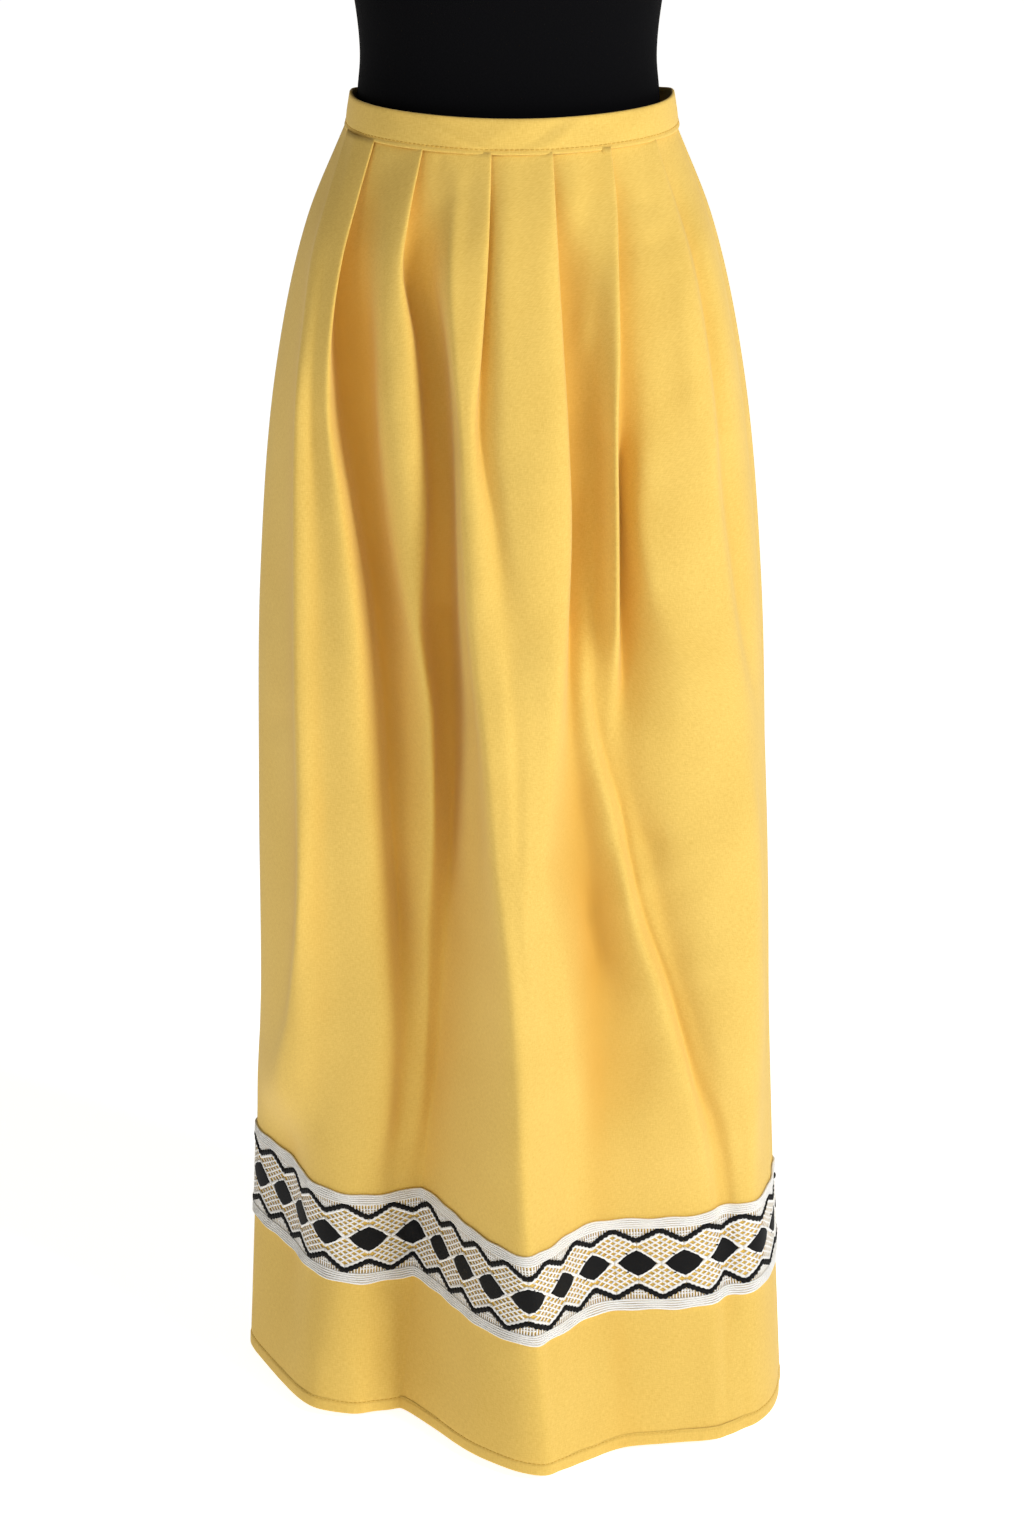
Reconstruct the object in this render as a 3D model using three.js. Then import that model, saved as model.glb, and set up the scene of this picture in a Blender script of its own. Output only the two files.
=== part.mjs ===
// A long pleated tube skirt with a lace band near its hem, on a limbless dress form with a pole and
// a round base. Millimetres, +Z up. The front of the skirt faces -Y and the origin is the middle of
// the underside of the base.
import * as THREE from 'three';
import { mergeVertices } from 'three/addons/utils/BufferGeometryUtils.js';

// Driving dimensions.
const WAIST_Z = 1018; // top of the waistband above the floor
const WAIST_Y = -32; // middle of the waist, in front of the pole
const SKIRT_LENGTH = 1010; // top of the waistband to the hem
const BAND_HEIGHT = 24;
const BAND_TOP = { halfWidth: 109.5, halfDepth: 86.5 };
const BAND_FOOT = { halfWidth: 113, halfDepth: 90 };
const BAND_THICKNESS = 2.6; // a folded strip: two layers and the pleats' edges between them
const BAND_LAP = 26; // overlap of the band's ends at the centre of the back
const BACK_DIP = 8; // the waist sits lower at the back, on the form's slope
const FRONT_RISE = 3.2; // and higher at the front
const SLOPE_END = 250; // below the waist the slope has faded out
const CLOTH = 1; // thickness of a cloth wall
const GAP = 0.3; // between two pieces that touch
const LACE_HEIGHT = 72;
const LACE_RISE = 104; // lower edge of the lace above the hem
const LACE_THICKNESS = 1;
const BUTTON = { radius: 7.5, thickness: 3 };
const TORSO_FOOT = 300; // underside of the form below the top of the waistband
const POLE_RADIUS = 12.5;
const FLANGE = { radius: 42, height: 8, neckRadius: 18, neckHeight: 26 };
const BASE = { radius: 100, edge: 5, rise: 12, hubRadius: 22, hubHeight: 24 };
const NECK_CAP = { radius: 51, height: 9, knobRadius: 11, knobHeight: 20 };

const YELLOW = new THREE.Color('#eecb69');

// Heights at which the folds are given, as distances below the top of the waistband.
const DROPS = [BAND_HEIGHT, 90, 200, 350, 520, 680, 834, SKIRT_LENGTH];

// The fold lines of the front, from the left side seam to the right one as its viewer sees them.
// Each is a ridge, a fold edge, the hollow behind it or the middle of a panel, followed down
// through DROPS as [x, y] measured from the middle of the waist.
const FRONT_FOLDS = [
  [[-114, 0], [-141, 2], [-165, 4], [-179, 6], [-184, 10], [-187, 30], [-195, 92], [-203, 60]],
  [[-104, -27], [-126, -30], [-142, -33], [-154, -26], [-161, -16], [-172, 2], [-178, 48], [-182, 6]],
  [[-112, -24], [-134, -40], [-148, -54], [-153, -54], [-155, -44], [-164, -28], [-160, -1], [-158, -36]],
  [[-103, -41], [-124, -60], [-136, -74], [-134, -78], [-132, -66], [-134, -50], [-138, -23], [-141, -49]],
  [[-94, -54], [-114, -74], [-121, -87], [-112, -89], [-107, -76], [-106, -56], [-116, -37], [-124, -55]],
  [[-94, -46], [-108, -66], [-106, -79], [-93, -72], [-84, -58], [-80, -44], [-88, -28], [-106, -51]],
  [[-77, -63], [-92, -82], [-97, -90], [-84, -80], [-73, -68], [-71, -51], [-80, -25], [-98, -48]],
  [[-60, -78], [-77, -95], [-88, -101], [-75, -94], [-61, -80], [-62, -58], [-73, -22], [-91, -46]],
  [[-62, -71], [-68, -84], [-69, -99], [-60, -88], [-53, -74], [-57, -50], [-68, -20], [-86, -44]],
  [[-52, -75], [-57, -88], [-50, -101], [-46, -84], [-43, -64], [-50, -40], [-63, -19], [-80, -48]],
  [[-46, -79], [-52, -91], [-46, -107], [-42, -98], [-36, -82], [-38, -62], [-46, -52], [-52, -81]],
  [[-40, -82], [-47, -97], [-41, -116], [-34, -117], [-22, -112], [-20, -100], [-20, -99], [-18, -121]],
  [[-32, -84], [-39, -103], [-35, -124], [-27, -132], [-11, -134], [-1, -132], [8, -127], [20, -141]],
  [[-14, -91], [-19, -109], [-23, -127], [-16, -136], [0, -138], [9, -134], [17, -124], [29, -138]],
  [[-16, -84], [-13, -101], [-13, -121], [-6, -131], [8, -134], [17, -128], [25, -114], [38, -132]],
  [[7, -87], [8, -105], [9, -125], [11, -136], [15, -133], [25, -120], [34, -98], [48, -124]],
  [[27, -89], [31, -107], [37, -126], [35, -133], [23, -126], [34, -107], [45, -84], [60, -115]],
  [[26, -81], [37, -97], [44, -109], [46, -113], [44, -102], [58, -88], [62, -73], [77, -105]],
  [[46, -79], [54, -94], [61, -110], [60, -110], [64, -103], [92, -87], [90, -72], [100, -98]],
  [[66, -76], [71, -95], [73, -113], [74, -114], [80, -109], [124, -96], [138, -68], [148, -93]],
  [[65, -69], [74, -87], [77, -99], [85, -93], [92, -94], [138, -85], [160, -47], [166, -81]],
  [[82, -60], [95, -78], [98, -93], [116, -98], [140, -82], [160, -72], [174, -42], [180, -70]],
  [[97, -49], [119, -67], [135, -72], [148, -71], [166, -58], [176, -56], [184, -36], [190, -58]],
  [[96, -41], [121, -55], [140, -58], [156, -54], [173, -42], [182, -40], [189, -22], [197, -44]],
  [[105, -26], [129, -38], [149, -42], [165, -38], [178, -27], [185, -26], [192, -10], [200, -34]],
  [[111, -12], [136, -21], [158, -26], [172, -23], [181, -14], [187, -12], [194, 2], [203, -22]],
  [[107, -4], [134, -9], [156, -9], [172, -8], [182, 0], [188, 2], [195, 14], [204, -8]],
];
// The right side seam, where the back begins.
const RIGHT_SEAM = [[112, 3], [139, 4], [162, 6], [177, 8], [184, 14], [190, 18], [197, 28], [205, 8]];

// The back hangs from eight more pleats, four on each side, which face the centre of the back.
const BACK_PLEATS_PER_SIDE = 4;
const BACK_FOLDS = 2 * BACK_PLEATS_PER_SIDE;
const BACK_DEPTH = [90, 106, 128, 137, 141, 146, 152, 157]; // along DROPS
const BACK_RELIEF = [1.5, 5, 9, 13, 15, 15, 15, 14]; // ridge above its hollow, along DROPS
const BACK_SWAY = [0.5, -0.2, 0.3, -0.4, 0.3, -0.3, 0.2, -0.5]; // degrees each ridge wanders by a key
const PLEAT_DEPTH_ANGLE = 3.5; // how far the inner fold lies behind its edge, in degrees

function radians(degrees) {
  return (degrees * Math.PI) / 180;
}

// A point on the back at an angle from the right seam (0) to the left one (180), between the two
// seams' own places and a half oval of the given depth.
function backPoint(key, angle, inset) {
  const right = RIGHT_SEAM[key];
  const left = FRONT_FOLDS[0][key];
  const turn = radians(angle);
  const middle = (right[0] + left[0]) / 2;
  const halfWidth = (right[0] - left[0]) / 2 - inset;
  const side = (right[1] * (1 + Math.cos(turn)) + left[1] * (1 - Math.cos(turn))) / 2;
  const depth = BACK_DEPTH[key] - inset - side;
  return [middle + halfWidth * Math.cos(turn), side + depth * Math.sin(turn)];
}

// Each back pleat gives three fold lines: its edge, the hollow behind it and the panel's middle. The
// hollow starts just behind the edge and opens downwards into a wave, shallower near the sides.
function backFolds() {
  const folds = [];
  const pitch = 180 / BACK_FOLDS;
  for (let pleat = 0; pleat < BACK_FOLDS; pleat += 1) {
    const facesOn = pleat < BACK_PLEATS_PER_SIDE ? 1 : -1;
    const edge = [];
    const hollow = [];
    const panel = [];
    DROPS.forEach((_, key) => {
      const open = Math.sqrt(key / (DROPS.length - 1));
      const ridge = pitch * (pleat + 0.5) + BACK_SWAY[pleat] * key;
      const reach = THREE.MathUtils.lerp(-PLEAT_DEPTH_ANGLE / 4, pitch * 0.4, open);
      const relief = BACK_RELIEF[key] * (0.3 + 0.7 * Math.sin(radians(ridge)));
      edge.push(backPoint(key, ridge, 0));
      hollow.push(backPoint(key, ridge + facesOn * reach, relief + 4.5 * (1 - open)));
      panel.push(backPoint(key, ridge - facesOn * pitch * 0.3, relief * 0.6));
    });
    folds.push(...(facesOn > 0 ? [panel, edge, hollow] : [hollow, edge, panel]));
  }
  return folds;
}

const FOLDS = [...FRONT_FOLDS, RIGHT_SEAM, ...backFolds()];
const SEAM_COLUMN = FRONT_FOLDS.length; // index of the right side seam among the folds

// Catmull-Rom value between b and c.
function blend(a, b, c, d, t) {
  const slopeB = (c - a) / 2;
  const slopeC = (d - b) / 2;
  const t2 = t * t;
  const t3 = t2 * t;
  return (2 * t3 - 3 * t2 + 1) * b + (t3 - 2 * t2 + t) * slopeB + (3 * t2 - 2 * t3) * c + (t3 - t2) * slopeC;
}

// Where a fold line is at a distance below the waist.
function foldAt(fold, drop) {
  const last = DROPS.length - 1;
  let key = 0;
  while (key < last - 1 && drop > DROPS[key + 1]) key += 1;
  const t = (drop - DROPS[key]) / (DROPS[key + 1] - DROPS[key]);
  const around = [Math.max(key - 1, 0), key, key + 1, Math.min(key + 2, last)];
  return [0, 1].map((axis) => blend(...around.map((k) => fold[k][axis]), t));
}

// How much lower the cloth sits behind the waist's middle and, less than 0, higher before it. The
// step fades out down to SLOPE_END.
function smooth(t) {
  const held = Math.min(Math.max(t, 0), 1);
  return held * held * (3 - 2 * held);
}
function dip(y, drop) {
  const step = BACK_DIP * smooth(y / 50) - FRONT_RISE * smooth(-y / 85);
  return step * smooth((SLOPE_END - drop) / (SLOPE_END - BAND_HEIGHT));
}

// One level ring of the cloth's middle surface. Every fold line gives a point, and a curve through
// its neighbours gives STEPS - 1 more before the next.
const STEPS = 2;
function ring(drop) {
  const knots = FOLDS.map((fold) => foldAt(fold, drop));
  const count = knots.length;
  const points = [];
  knots.forEach((knot, index) => {
    const near = [-1, 0, 1, 2].map((shift) => knots[(index + shift + count) % count]);
    for (let step = 0; step < STEPS; step += 1) {
      const [x, y] = [0, 1].map((axis) => blend(...near.map((point) => point[axis]), step / STEPS));
      points.push(new THREE.Vector3(x, y + WAIST_Y, WAIST_Z - drop - dip(y, drop)));
    }
  });
  return points;
}

// Outward directions of a closed stack of rings, level with each ring.
function outwards(points) {
  const count = points.length;
  return points.map((point, index) => {
    const along = points[(index + 1) % count].clone().sub(points[(index + count - 1) % count]);
    return new THREE.Vector3(along.y, -along.x, 0).normalize();
  });
}

// A closed wall between two grids of points with the same rows (downwards) and columns (around,
// counter-clockwise seen from above), the first of them outside.
function wall(outer, inner) {
  const rows = outer.length;
  const columns = outer[0].length;
  const positions = [...outer.flat(), ...inner.flat()].flatMap((point) => [point.x, point.y, point.z]);
  const indices = [];
  const at = (side, row, column) => side * rows * columns + row * columns + column;
  const quad = (a, b, c, d) => indices.push(a, b, c, a, c, d);
  for (let row = 0; row < rows - 1; row += 1) {
    for (let column = 0; column < columns - 1; column += 1) {
      quad(at(0, row, column), at(0, row + 1, column), at(0, row + 1, column + 1), at(0, row, column + 1));
      quad(at(1, row, column), at(1, row, column + 1), at(1, row + 1, column + 1), at(1, row + 1, column));
    }
    quad(at(0, row, 0), at(1, row, 0), at(1, row + 1, 0), at(0, row + 1, 0));
    const end = columns - 1;
    quad(at(0, row, end), at(0, row + 1, end), at(1, row + 1, end), at(1, row, end));
  }
  for (let column = 0; column < columns - 1; column += 1) {
    quad(at(0, 0, column), at(0, 0, column + 1), at(1, 0, column + 1), at(1, 0, column));
    const foot = rows - 1;
    quad(at(0, foot, column), at(1, foot, column), at(1, foot, column + 1), at(0, foot, column + 1));
  }
  const geometry = new THREE.BufferGeometry();
  geometry.setAttribute('position', new THREE.Float32BufferAttribute(positions, 3));
  geometry.setIndex(indices);
  geometry.computeVertexNormals();
  return geometry;
}

// The part of a ring between two columns, moved outwards, its ends drawn in by half a gap.
function stretch(points, first, last, offset) {
  const directions = outwards(points);
  const count = points.length;
  const run = [];
  for (let column = first; column <= last; column += 1) {
    run.push(points[column % count].clone().addScaledVector(directions[column % count], offset));
  }
  const drawIn = (end, next) => end.addScaledVector(next.clone().sub(end).normalize(), GAP / 2);
  drawIn(run[0], run[1]);
  drawIn(run[run.length - 1], run[run.length - 2]);
  return run;
}

// A cloth wall that follows the folds over the given distances below the waist.
function foldedWall(drops, first, last, inside, outside) {
  const rings = drops.map(ring);
  return wall(
    rings.map((points) => stretch(points, first, last, outside)),
    rings.map((points) => stretch(points, first, last, inside)),
  );
}

const group = new THREE.Group();

function add(name, geometry, material, position = [0, 0, 0]) {
  const mesh = new THREE.Mesh(geometry, material);
  mesh.name = name;
  mesh.position.set(...position);
  group.add(mesh);
  return mesh;
}

const cotton = new THREE.MeshStandardMaterial({ color: YELLOW, roughness: 0.85, metalness: 0 });
const lace = new THREE.MeshStandardMaterial({ color: '#bdb9b1', roughness: 0.9, metalness: 0 });
const jersey = new THREE.MeshStandardMaterial({ color: '#101010', roughness: 0.8, metalness: 0 });
const blackSteel = new THREE.MeshStandardMaterial({ color: '#141414', roughness: 0.45, metalness: 0.6 });
const casein = new THREE.MeshStandardMaterial({ color: '#e2bd5c', roughness: 0.4, metalness: 0 });

// Skirt panels: front and back, joined at the sides and pleated into the band.
const laceTop = SKIRT_LENGTH - LACE_RISE - LACE_HEIGHT;
const LACE_DROPS = [laceTop, laceTop + LACE_HEIGHT / 2, laceTop + LACE_HEIGHT];
const PANEL_DROPS = [
  BAND_HEIGHT + GAP, 45, 90, 140, 200, 270, 350, 435, 520, 600, 680, 757, ...LACE_DROPS, 958, SKIRT_LENGTH,
];
const COLUMNS = { left: 0, right: SEAM_COLUMN * STEPS, all: FOLDS.length * STEPS };
add('skirt_front', foldedWall(PANEL_DROPS, COLUMNS.left, COLUMNS.right, -CLOTH / 2, CLOTH / 2), cotton);
add('skirt_back', foldedWall(PANEL_DROPS, COLUMNS.right, COLUMNS.all, -CLOTH / 2, CLOTH / 2), cotton);

// Lace: a strip sewn on each panel, made from the panel's own points moved outwards.
const laceInside = CLOTH / 2 + GAP;
const laceOutside = laceInside + LACE_THICKNESS;
add('lace_front', foldedWall(LACE_DROPS, COLUMNS.left, COLUMNS.right, laceInside, laceOutside), lace);
add('lace_back', foldedWall(LACE_DROPS, COLUMNS.right, COLUMNS.all, laceInside, laceOutside), lace);

// Waistband: one folded strip round the waist, whose ends lap at the centre of the back.
const BAND_STEPS = 64;
const LAP_ANGLE = BAND_LAP / BAND_FOOT.halfWidth;
const CLIMB_ANGLE = 0.4; // where the upper end rises over the lower one
function bandRow(height, size, offset) {
  const row = [];
  const whole = 2 * Math.PI + LAP_ANGLE;
  for (let step = 0; step <= BAND_STEPS; step += 1) {
    const turn = (whole * step) / BAND_STEPS;
    const angle = (Math.PI - LAP_ANGLE) / 2 + turn;
    const lapStart = 2 * Math.PI - LAP_ANGLE / 2;
    const climb = THREE.MathUtils.smoothstep(turn, lapStart - CLIMB_ANGLE, lapStart);
    const out = offset + climb * (BAND_THICKNESS + 2 * GAP);
    const x = (size.halfWidth + out) * Math.cos(angle);
    const y = (size.halfDepth + out) * Math.sin(angle);
    row.push(new THREE.Vector3(x, y + WAIST_Y, height - dip(y, BAND_HEIGHT)));
  }
  return row;
}
function bandRows(offset) {
  return [
    bandRow(WAIST_Z, BAND_TOP, offset),
    bandRow(WAIST_Z - BAND_HEIGHT, BAND_FOOT, offset),
  ];
}
add('waistband', wall(bandRows(BAND_THICKNESS / 2), bandRows(-BAND_THICKNESS / 2)), cotton);

// Button: closes the lap at the centre of the back.
const lapFace = WAIST_Y + (BAND_TOP.halfDepth + BAND_FOOT.halfDepth) / 2 + BAND_THICKNESS * 1.5 + 2 * GAP;
const button = new THREE.CylinderGeometry(BUTTON.radius, BUTTON.radius, BUTTON.thickness, 24);
const buttonY = lapFace + GAP + 1.2 + BUTTON.thickness / 2; // 1.2 clears the slope of the band
add('band_button', button, casein, [0, buttonY, WAIST_Z - BAND_HEIGHT / 2 - BACK_DIP]);

// Dress form: smooth sections from the thighs to the neck, as [height above the top of the
// waistband, half width, depth in front, depth behind, how square the section is].
const TORSO = [
  [-TORSO_FOOT, 112, 66, 92, 2.2],
  [-250, 118, 70, 100, 2.2],
  [-190, 122, 76, 102, 2.1],
  [-130, 120, 80, 93, 2.1],
  [-70, 110, 80, 79, 2.1],
  [-24, 104, 80, 74, 2.1],
  [0, 103, 79, 74, 2.1],
  [25, 101, 76, 74, 2.1],
  [75, 106, 82, 78, 2.1],
  [130, 118, 97, 85, 2.2],
  [185, 129, 106, 91, 2.3],
  [240, 137, 97, 92, 2.4],
  [295, 150, 79, 86, 2.5],
  [340, 157, 63, 74, 2.5],
  [368, 132, 54, 65, 2.3],
  [388, 88, 50, 58, 2.1],
  [404, 60, 49, 54, 2],
  [428, 52, 48, 52, 2],
  [446, 51, 48, 52, 2],
];
const TORSO_SIDES = 36;
const TORSO_STEPS = 2; // rows from one section to the next
const TORSO_MIDDLE = { x: -2.5, y: WAIST_Y + 2 };

function torsoSection([height, halfWidth, front, behind, square]) {
  const points = [];
  for (let side = 0; side < TORSO_SIDES; side += 1) {
    const angle = (2 * Math.PI * side) / TORSO_SIDES;
    const power = 2 / square;
    const across = Math.sign(Math.cos(angle)) * Math.abs(Math.cos(angle)) ** power;
    const along = Math.sign(Math.sin(angle)) * Math.abs(Math.sin(angle)) ** power;
    const depth = along < 0 ? front : behind;
    const x = TORSO_MIDDLE.x + halfWidth * across;
    points.push(new THREE.Vector3(x, TORSO_MIDDLE.y + depth * along, WAIST_Z + height));
  }
  return points;
}

// The sections with rows blended between them.
function torsoSections() {
  const last = TORSO.length - 1;
  const sections = [];
  for (let index = 0; index < last; index += 1) {
    const near = [Math.max(index - 1, 0), index, index + 1, Math.min(index + 2, last)];
    for (let step = 0; step < TORSO_STEPS; step += 1) {
      const t = step / TORSO_STEPS;
      const sizes = TORSO[0].map((_, item) => blend(...near.map((row) => TORSO[row][item]), t));
      sections.push(torsoSection(sizes));
    }
  }
  sections.push(torsoSection(TORSO[last]));
  return sections;
}

// A closed body through level sections listed from the bottom up, with flat ends.
function loft(sections) {
  const sides = sections[0].length;
  const middle = (points) =>
    points.reduce((sum, point) => sum.add(point), new THREE.Vector3()).divideScalar(points.length);
  const positions = [...sections.flat(), middle(sections[0]), middle(sections[sections.length - 1])]
    .flatMap((point) => [point.x, point.y, point.z]);
  const foot = sections.length * sides;
  const indices = [];
  for (let side = 0; side < sides; side += 1) {
    const next = (side + 1) % sides;
    for (let row = 0; row < sections.length - 1; row += 1) {
      const low = row * sides;
      const high = low + sides;
      indices.push(low + side, low + next, high + next, low + side, high + next, high + side);
    }
    const top = (sections.length - 1) * sides;
    indices.push(foot, next, side, foot + 1, top + side, top + next);
  }
  const geometry = new THREE.BufferGeometry();
  geometry.setAttribute('position', new THREE.Float32BufferAttribute(positions, 3));
  geometry.setIndex(indices);
  geometry.computeVertexNormals();
  return geometry;
}
add('form_torso', loft(torsoSections()), jersey);

// A turned piece from its [radius, height] profile, which starts and ends on the axis.
function turned(profile, sides) {
  const geometry = new THREE.LatheGeometry(profile.map(([r, z]) => new THREE.Vector2(r, z)), sides);
  geometry.deleteAttribute('uv');
  geometry.deleteAttribute('normal');
  const closed = mergeVertices(geometry, 1e-3);
  closed.rotateX(Math.PI / 2);
  closed.computeVertexNormals();
  return closed;
}

// Neck cap: a round plate with a small turned knob.
const neckTop = WAIST_Z + TORSO[TORSO.length - 1][0];
const capProfile = [
  [0, 0], [NECK_CAP.radius - 1, 0], [NECK_CAP.radius, 2], [NECK_CAP.radius - 2, NECK_CAP.height - 3],
  [NECK_CAP.radius - 8, NECK_CAP.height], [6, NECK_CAP.height + 1], [6, NECK_CAP.height + 5],
  [NECK_CAP.knobRadius, NECK_CAP.height + 10], [NECK_CAP.knobRadius - 2, NECK_CAP.height + 17],
  [0, NECK_CAP.height + NECK_CAP.knobHeight],
];
const capY = TORSO_MIDDLE.y + 2;
add('form_neck_cap', turned(capProfile, 32), blackSteel, [TORSO_MIDDLE.x, capY, neckTop + GAP]);

// Stand: a flange under the form, the pole and the round base.
const torsoFoot = WAIST_Z - TORSO_FOOT;
const flangeProfile = [
  [0, 0], [FLANGE.neckRadius, 0], [FLANGE.neckRadius, FLANGE.neckHeight],
  [FLANGE.radius, FLANGE.neckHeight + 4], [FLANGE.radius, FLANGE.neckHeight + FLANGE.height],
  [0, FLANGE.neckHeight + FLANGE.height],
];
const flangeZ = torsoFoot - GAP - FLANGE.neckHeight - FLANGE.height;
add('stand_flange', turned(flangeProfile, 32), blackSteel, [0, 0, flangeZ]);

const poleFoot = BASE.hubHeight + GAP;
const poleLength = flangeZ - GAP - poleFoot;
const pole = new THREE.CylinderGeometry(POLE_RADIUS, POLE_RADIUS, poleLength, 32).rotateX(Math.PI / 2);
add('stand_pole', pole, blackSteel, [0, 0, poleFoot + poleLength / 2]);

const baseProfile = [
  [0, 0], [BASE.radius - 1, 0], [BASE.radius, 1], [BASE.radius, BASE.edge],
  [BASE.radius * 0.8, BASE.edge + 3], [BASE.radius * 0.4, BASE.rise - 1], [BASE.hubRadius, BASE.rise],
  [BASE.hubRadius - 3, BASE.hubHeight - 2], [BASE.hubRadius - 5, BASE.hubHeight], [0, BASE.hubHeight],
];
add('stand_base', turned(baseProfile, 48), blackSteel);

export default group;
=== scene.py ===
"""A long pleated yellow tube skirt with a lace band near its hem, on a limbless dress form.

The file follows the object as it is put together: the skirt's panels, its lace, stitches,
waistband and button, and then the form and the stand that carry it. Lengths are in metres unless a
comment says mm. The front of the skirt faces -Y.
"""
import math

import bpy
import numpy as np
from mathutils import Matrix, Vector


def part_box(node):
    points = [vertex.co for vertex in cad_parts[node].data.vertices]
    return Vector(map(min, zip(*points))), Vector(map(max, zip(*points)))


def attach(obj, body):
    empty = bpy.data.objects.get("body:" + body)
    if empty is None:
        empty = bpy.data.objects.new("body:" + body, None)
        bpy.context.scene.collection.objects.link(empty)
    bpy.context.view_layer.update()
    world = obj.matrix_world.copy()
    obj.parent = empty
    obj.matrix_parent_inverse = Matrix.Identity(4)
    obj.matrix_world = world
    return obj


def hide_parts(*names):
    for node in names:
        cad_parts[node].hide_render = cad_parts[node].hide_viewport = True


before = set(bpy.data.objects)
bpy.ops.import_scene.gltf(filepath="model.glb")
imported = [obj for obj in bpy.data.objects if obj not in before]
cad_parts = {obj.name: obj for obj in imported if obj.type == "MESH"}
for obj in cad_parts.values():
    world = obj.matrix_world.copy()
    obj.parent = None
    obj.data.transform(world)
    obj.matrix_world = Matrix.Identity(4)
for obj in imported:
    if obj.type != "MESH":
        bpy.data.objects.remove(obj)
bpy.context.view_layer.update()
MM = 0.001


# ---- Studio -------------------------------------------------------------------------------------
# A pale floor that runs to white, a broad soft light from the front right and above, a weak one at
# the left, a dim warm room around, and the camera.
CAMERA_DISTANCE = 3.036
CAMERA_HEIGHT = 1.803
CAMERA_PITCH = math.radians(22.97)
WAIST_Y = -0.032  # middle of the waist, in front of the pole

camera_data = bpy.data.cameras.new("camera")
camera_data.sensor_width = 36
camera_data.lens = 106.6
camera = bpy.data.objects.new("camera", camera_data)
camera.location = (0, WAIST_Y - CAMERA_DISTANCE, CAMERA_HEIGHT)
camera.rotation_euler = (math.pi / 2 - CAMERA_PITCH, 0, 0)
bpy.context.scene.collection.objects.link(camera)
bpy.context.scene.camera = camera
bpy.context.scene.view_settings.view_transform = "Standard"


def linear(code):
    """The linear colour, with alpha 1, of an sRGB hex code: c/12.92 under 0.04045, else a 2.4 power."""
    channels = np.array([int(code[i : i + 2], 16) for i in (1, 3, 5)]) / 255
    curved = ((channels + 0.055) / 1.055) ** 2.4
    return (*np.where(channels <= 0.04045, channels / 12.92, curved), 1.0)


def node(tree, kind, links=None, **settings):
    """Adds a shader node. settings are its properties, or its inputs' default values by name, and
    links joins its inputs, by name or number, to other nodes' outputs."""
    made = tree.nodes.new(kind)
    for name, value in settings.items():
        if hasattr(made, name):
            setattr(made, name, value)
        else:
            made.inputs[name.replace("_", " ")].default_value = value
    for name, output in (links or {}).items():
        tree.links.new(output, made.inputs[name])
    return made


def soft_light(name, place, aim, size, power):
    """A square area light at place that faces aim."""
    data = bpy.data.lights.new(name, "AREA")
    data.energy = power
    data.size = size
    light = bpy.data.objects.new(name, data)
    light.location = place
    towards = np.array(aim) - np.array(place)
    flat = math.hypot(towards[0], towards[1])
    light.rotation_euler = (math.atan2(flat, -towards[2]), 0, math.atan2(-towards[0], towards[1]))
    bpy.context.scene.collection.objects.link(light)


SKIRT_MIDDLE = (0, 0, 0.6)
soft_light("key", (2.9, -2.5, 2.6), SKIRT_MIDDLE, 0.9, 112)
soft_light("fill", (-2.4, -2.6, 1.7), SKIRT_MIDDLE, 1.2, 9)

world = bpy.data.worlds.new("studio")
world.use_nodes = True
room = world.node_tree.nodes["Background"]
room.inputs["Color"].default_value = (1, 0.92, 0.77, 1)
room.inputs["Strength"].default_value = 0.14
bpy.context.scene.world = world


def mesh_object(name, points, faces, material, smooth=True):
    """A mesh object in the scene, from points in metres and faces of point numbers."""
    mesh = bpy.data.meshes.new(name)
    mesh.from_pydata(np.reshape(points, (-1, 3)).tolist(), [], faces)
    mesh.polygons.foreach_set("use_smooth", np.full(len(mesh.polygons), smooth))
    mesh.materials.append(material)
    made = bpy.data.objects.new(name, mesh)
    bpy.context.scene.collection.objects.link(made)
    return made


def plain_material(name, **sockets):
    """A material with its node tree and its Principled shader, whose sockets are set by name."""
    made = bpy.data.materials.new(name)
    made.use_nodes = True
    shader = made.node_tree.nodes["Principled BSDF"]
    for socket, value in sockets.items():
        shader.inputs[socket.replace("_", " ")].default_value = value
    return made, made.node_tree, shader


paper = plain_material(
    "matt white paper", Base_Color=linear("#fbfbfa"), Roughness=0.9,
    Emission_Color=(1, 1, 1, 1), Emission_Strength=0.86)[0]
FLOOR_HALF = 40  # from its middle to an edge
corners = [(x * FLOOR_HALF, y * FLOOR_HALF, 0) for x, y in ((-1, -1), (1, -1), (1, 1), (-1, 1))]
mesh_object("floor", corners, [(0, 1, 2, 3)], paper, smooth=False)


# ---- Skirt panels -------------------------------------------------------------------------------
# Plain-woven yellow cotton, two panels seamed at the sides, knife-pleated into the waistband and
# hanging in the folds that the pleats open into. The fold lines are a maker's plan of the cloth.
WAIST_Z = 1.018
SKIRT_LENGTH = 1010  # mm, top of the waistband to the hem
BAND_HEIGHT = 24  # mm
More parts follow.
